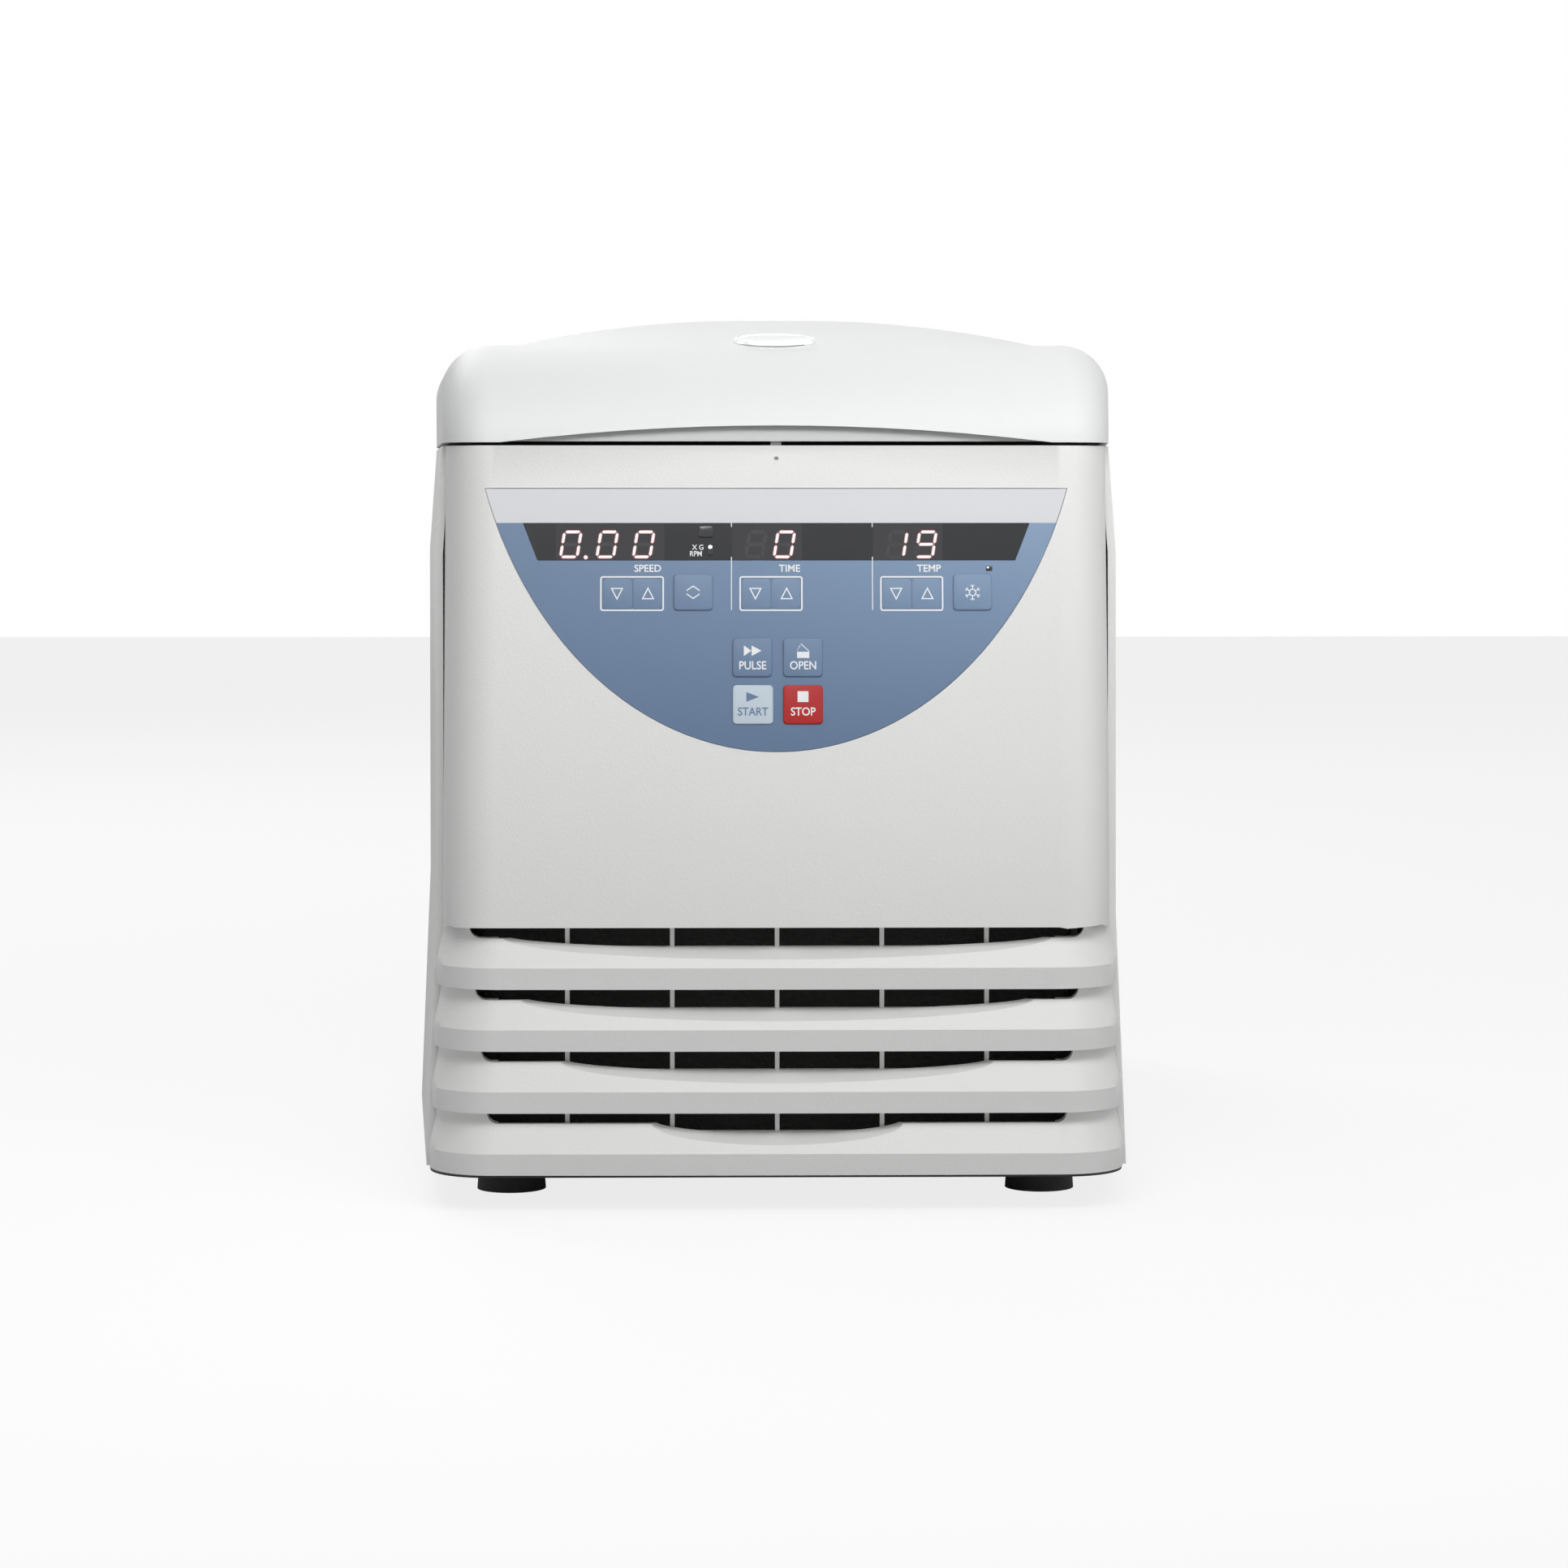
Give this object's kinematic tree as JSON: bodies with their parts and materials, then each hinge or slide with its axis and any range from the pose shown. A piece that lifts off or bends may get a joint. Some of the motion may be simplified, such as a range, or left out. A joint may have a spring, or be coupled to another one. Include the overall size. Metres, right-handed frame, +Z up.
{
  "type": "refrigerated microcentrifuge",
  "caption": "Bench-top cooled microcentrifuge: hinged hood over a chamber with an angled tube rotor, leaning key face with display, louvred front and side-flared casing.",
  "frame": {"origin": "middle of the footprint, on the bench surface under the feet", "axes": "+X to the user's right, -Y out of the front, +Z up"},
  "size_m": [0.292, 0.45, 0.33],
  "materials": {
    "casing": "fine leather-grained off-white moulding",
    "liner": "smooth pale grey moulding",
    "dark_metal": "black powder coat",
    "rubber": "matte",
    "filter": "fine open mesh",
    "rear_metal": "powder coat",
    "chrome": "polished",
    "clear_lens": "clear",
    "stainless": "spun",
    "deck_metal": "powder coat",
    "foam": "closed-cell foam",
    "copper": "drawn copper",
    "aluminium": "anodised",
    "steel": "machined",
    "black_plastic": "moulded",
    "motor_paint": "satin",
    "compressor_paint": "gloss",
    "circuit_board": "solder-masked board",
    "display_glass": "dark glossy window",
    "display_modules": "dark module",
    "key_film": "fine satin film",
    "start_key": "satin film",
    "stop_key": "satin film"
  },
  "bodies": {
    "root": {"housing": "casing", "front_panel": "casing", "base_plate": "dark_metal", "feet": "rubber", "chamber_gasket": "rubber", "motor_dampers": "rubber", "intake_filter": "filter", "rear_panel": "rear_metal", "chamber_bowl": "stainless", "top_deck": "deck_metal", "motor_plate": "deck_metal", "latch_housing": "deck_metal", "insulation": "foam", "evaporator_coil": "copper", "refrigerant_lines": "copper", "condenser": "aluminium", "hinge_brackets": "steel", "hinge_pins": "steel", "motor_posts": "steel", "mains_inlet": "black_plastic", "switch_body": "black_plastic", "fan_frame": "black_plastic", "motor": "motor_paint", "compressor": "compressor_paint", "display_board": "circuit_board", "main_board": "circuit_board", "display_lens": "display_glass", "led_displays": "display_modules", "keypad_overlay": "key_film"},
    "lid": {"lid_shell": "casing", "lid_liner": "liner", "lid_bezel": "chrome", "lid_lens": "clear_lens", "lid_striker": "steel", "hinge_arms": "steel"},
    "rotor_group": {"motor_shaft": "steel", "rotor": "aluminium", "rotor_nut": "steel"},
    "rotor_cover": {"rotor_lid": "aluminium"},
    "impeller": {"fan_impeller": "black_plastic"},
    "rocker": {"power_rocker": "black_plastic"},
    "bolt": {"latch_bolt": "steel"},
    "key_speed_down": {"key_speed_down": "key_film"},
    "key_speed_up": {"key_speed_up": "key_film"},
    "key_speed_mode": {"key_speed_mode": "key_film"},
    "key_time_down": {"key_time_down": "key_film"},
    "key_time_up": {"key_time_up": "key_film"},
    "key_temp_down": {"key_temp_down": "key_film"},
    "key_temp_up": {"key_temp_up": "key_film"},
    "key_precool": {"key_precool": "key_film"},
    "key_pulse": {"key_pulse": "key_film"},
    "key_open": {"key_open": "key_film"},
    "key_start": {"key_start": "start_key"},
    "key_stop": {"key_stop": "stop_key"}
  },
  "joints": [
    {"name": "lid_hinge", "type": "hinge", "parent": "root", "child": "lid", "pos_m": [0, 0.104, 0.296], "axis": [-1, 0, 0], "range_deg": [0, 80]},
    {"name": "rotor_spin", "type": "hinge", "parent": "root", "child": "rotor_group", "pos_m": [0, -0.036, 0.2], "axis": [0, 0, 1], "continuous": true},
    {"name": "rotor_lid_lift", "type": "slide", "parent": "rotor_group", "child": "rotor_cover", "axis": [0, 0, 1], "range_m": [0, 0.014]},
    {"name": "fan_spin", "type": "hinge", "parent": "root", "child": "impeller", "pos_m": [0, -0.16, 0.06], "axis": [0, 1, 0], "continuous": true},
    {"name": "power_switch", "type": "hinge", "parent": "root", "child": "rocker", "pos_m": [0.02, 0.218, 0.06], "axis": [1, 0, 0], "range_deg": [0, 16]},
    {"name": "latch_slide", "type": "slide", "parent": "root", "child": "bolt", "axis": [-1, 0, 0], "range_m": [0, 0.01], "stiffness_N_per_m": 150},
    {"name": "speed_down_press", "type": "slide", "parent": "root", "child": "key_speed_down", "axis": [0, 0.9848, -0.1736], "range_m": [0, 0.0004], "stiffness_N_per_m": 400},
    {"name": "speed_up_press", "type": "slide", "parent": "root", "child": "key_speed_up", "axis": [0, 0.9848, -0.1736], "range_m": [0, 0.0004], "stiffness_N_per_m": 400},
    {"name": "speed_mode_press", "type": "slide", "parent": "root", "child": "key_speed_mode", "axis": [0, 0.9848, -0.1736], "range_m": [0, 0.0004], "stiffness_N_per_m": 400},
    {"name": "time_down_press", "type": "slide", "parent": "root", "child": "key_time_down", "axis": [0, 0.9848, -0.1736], "range_m": [0, 0.0004], "stiffness_N_per_m": 400},
    {"name": "time_up_press", "type": "slide", "parent": "root", "child": "key_time_up", "axis": [0, 0.9848, -0.1736], "range_m": [0, 0.0004], "stiffness_N_per_m": 400},
    {"name": "temp_down_press", "type": "slide", "parent": "root", "child": "key_temp_down", "axis": [0, 0.9848, -0.1736], "range_m": [0, 0.0004], "stiffness_N_per_m": 400},
    {"name": "temp_up_press", "type": "slide", "parent": "root", "child": "key_temp_up", "axis": [0, 0.9848, -0.1736], "range_m": [0, 0.0004], "stiffness_N_per_m": 400},
    {"name": "precool_press", "type": "slide", "parent": "root", "child": "key_precool", "axis": [0, 0.9848, -0.1736], "range_m": [0, 0.0004], "stiffness_N_per_m": 400},
    {"name": "pulse_press", "type": "slide", "parent": "root", "child": "key_pulse", "axis": [0, 0.9848, -0.1736], "range_m": [0, 0.0004], "stiffness_N_per_m": 400},
    {"name": "open_press", "type": "slide", "parent": "root", "child": "key_open", "axis": [0, 0.9848, -0.1736], "range_m": [0, 0.0004], "stiffness_N_per_m": 400},
    {"name": "start_press", "type": "slide", "parent": "root", "child": "key_start", "axis": [0, 0.9848, -0.1736], "range_m": [0, 0.0004], "stiffness_N_per_m": 400},
    {"name": "stop_press", "type": "slide", "parent": "root", "child": "key_stop", "axis": [0, 0.9848, -0.1736], "range_m": [0, 0.0004], "stiffness_N_per_m": 400}
  ]
}
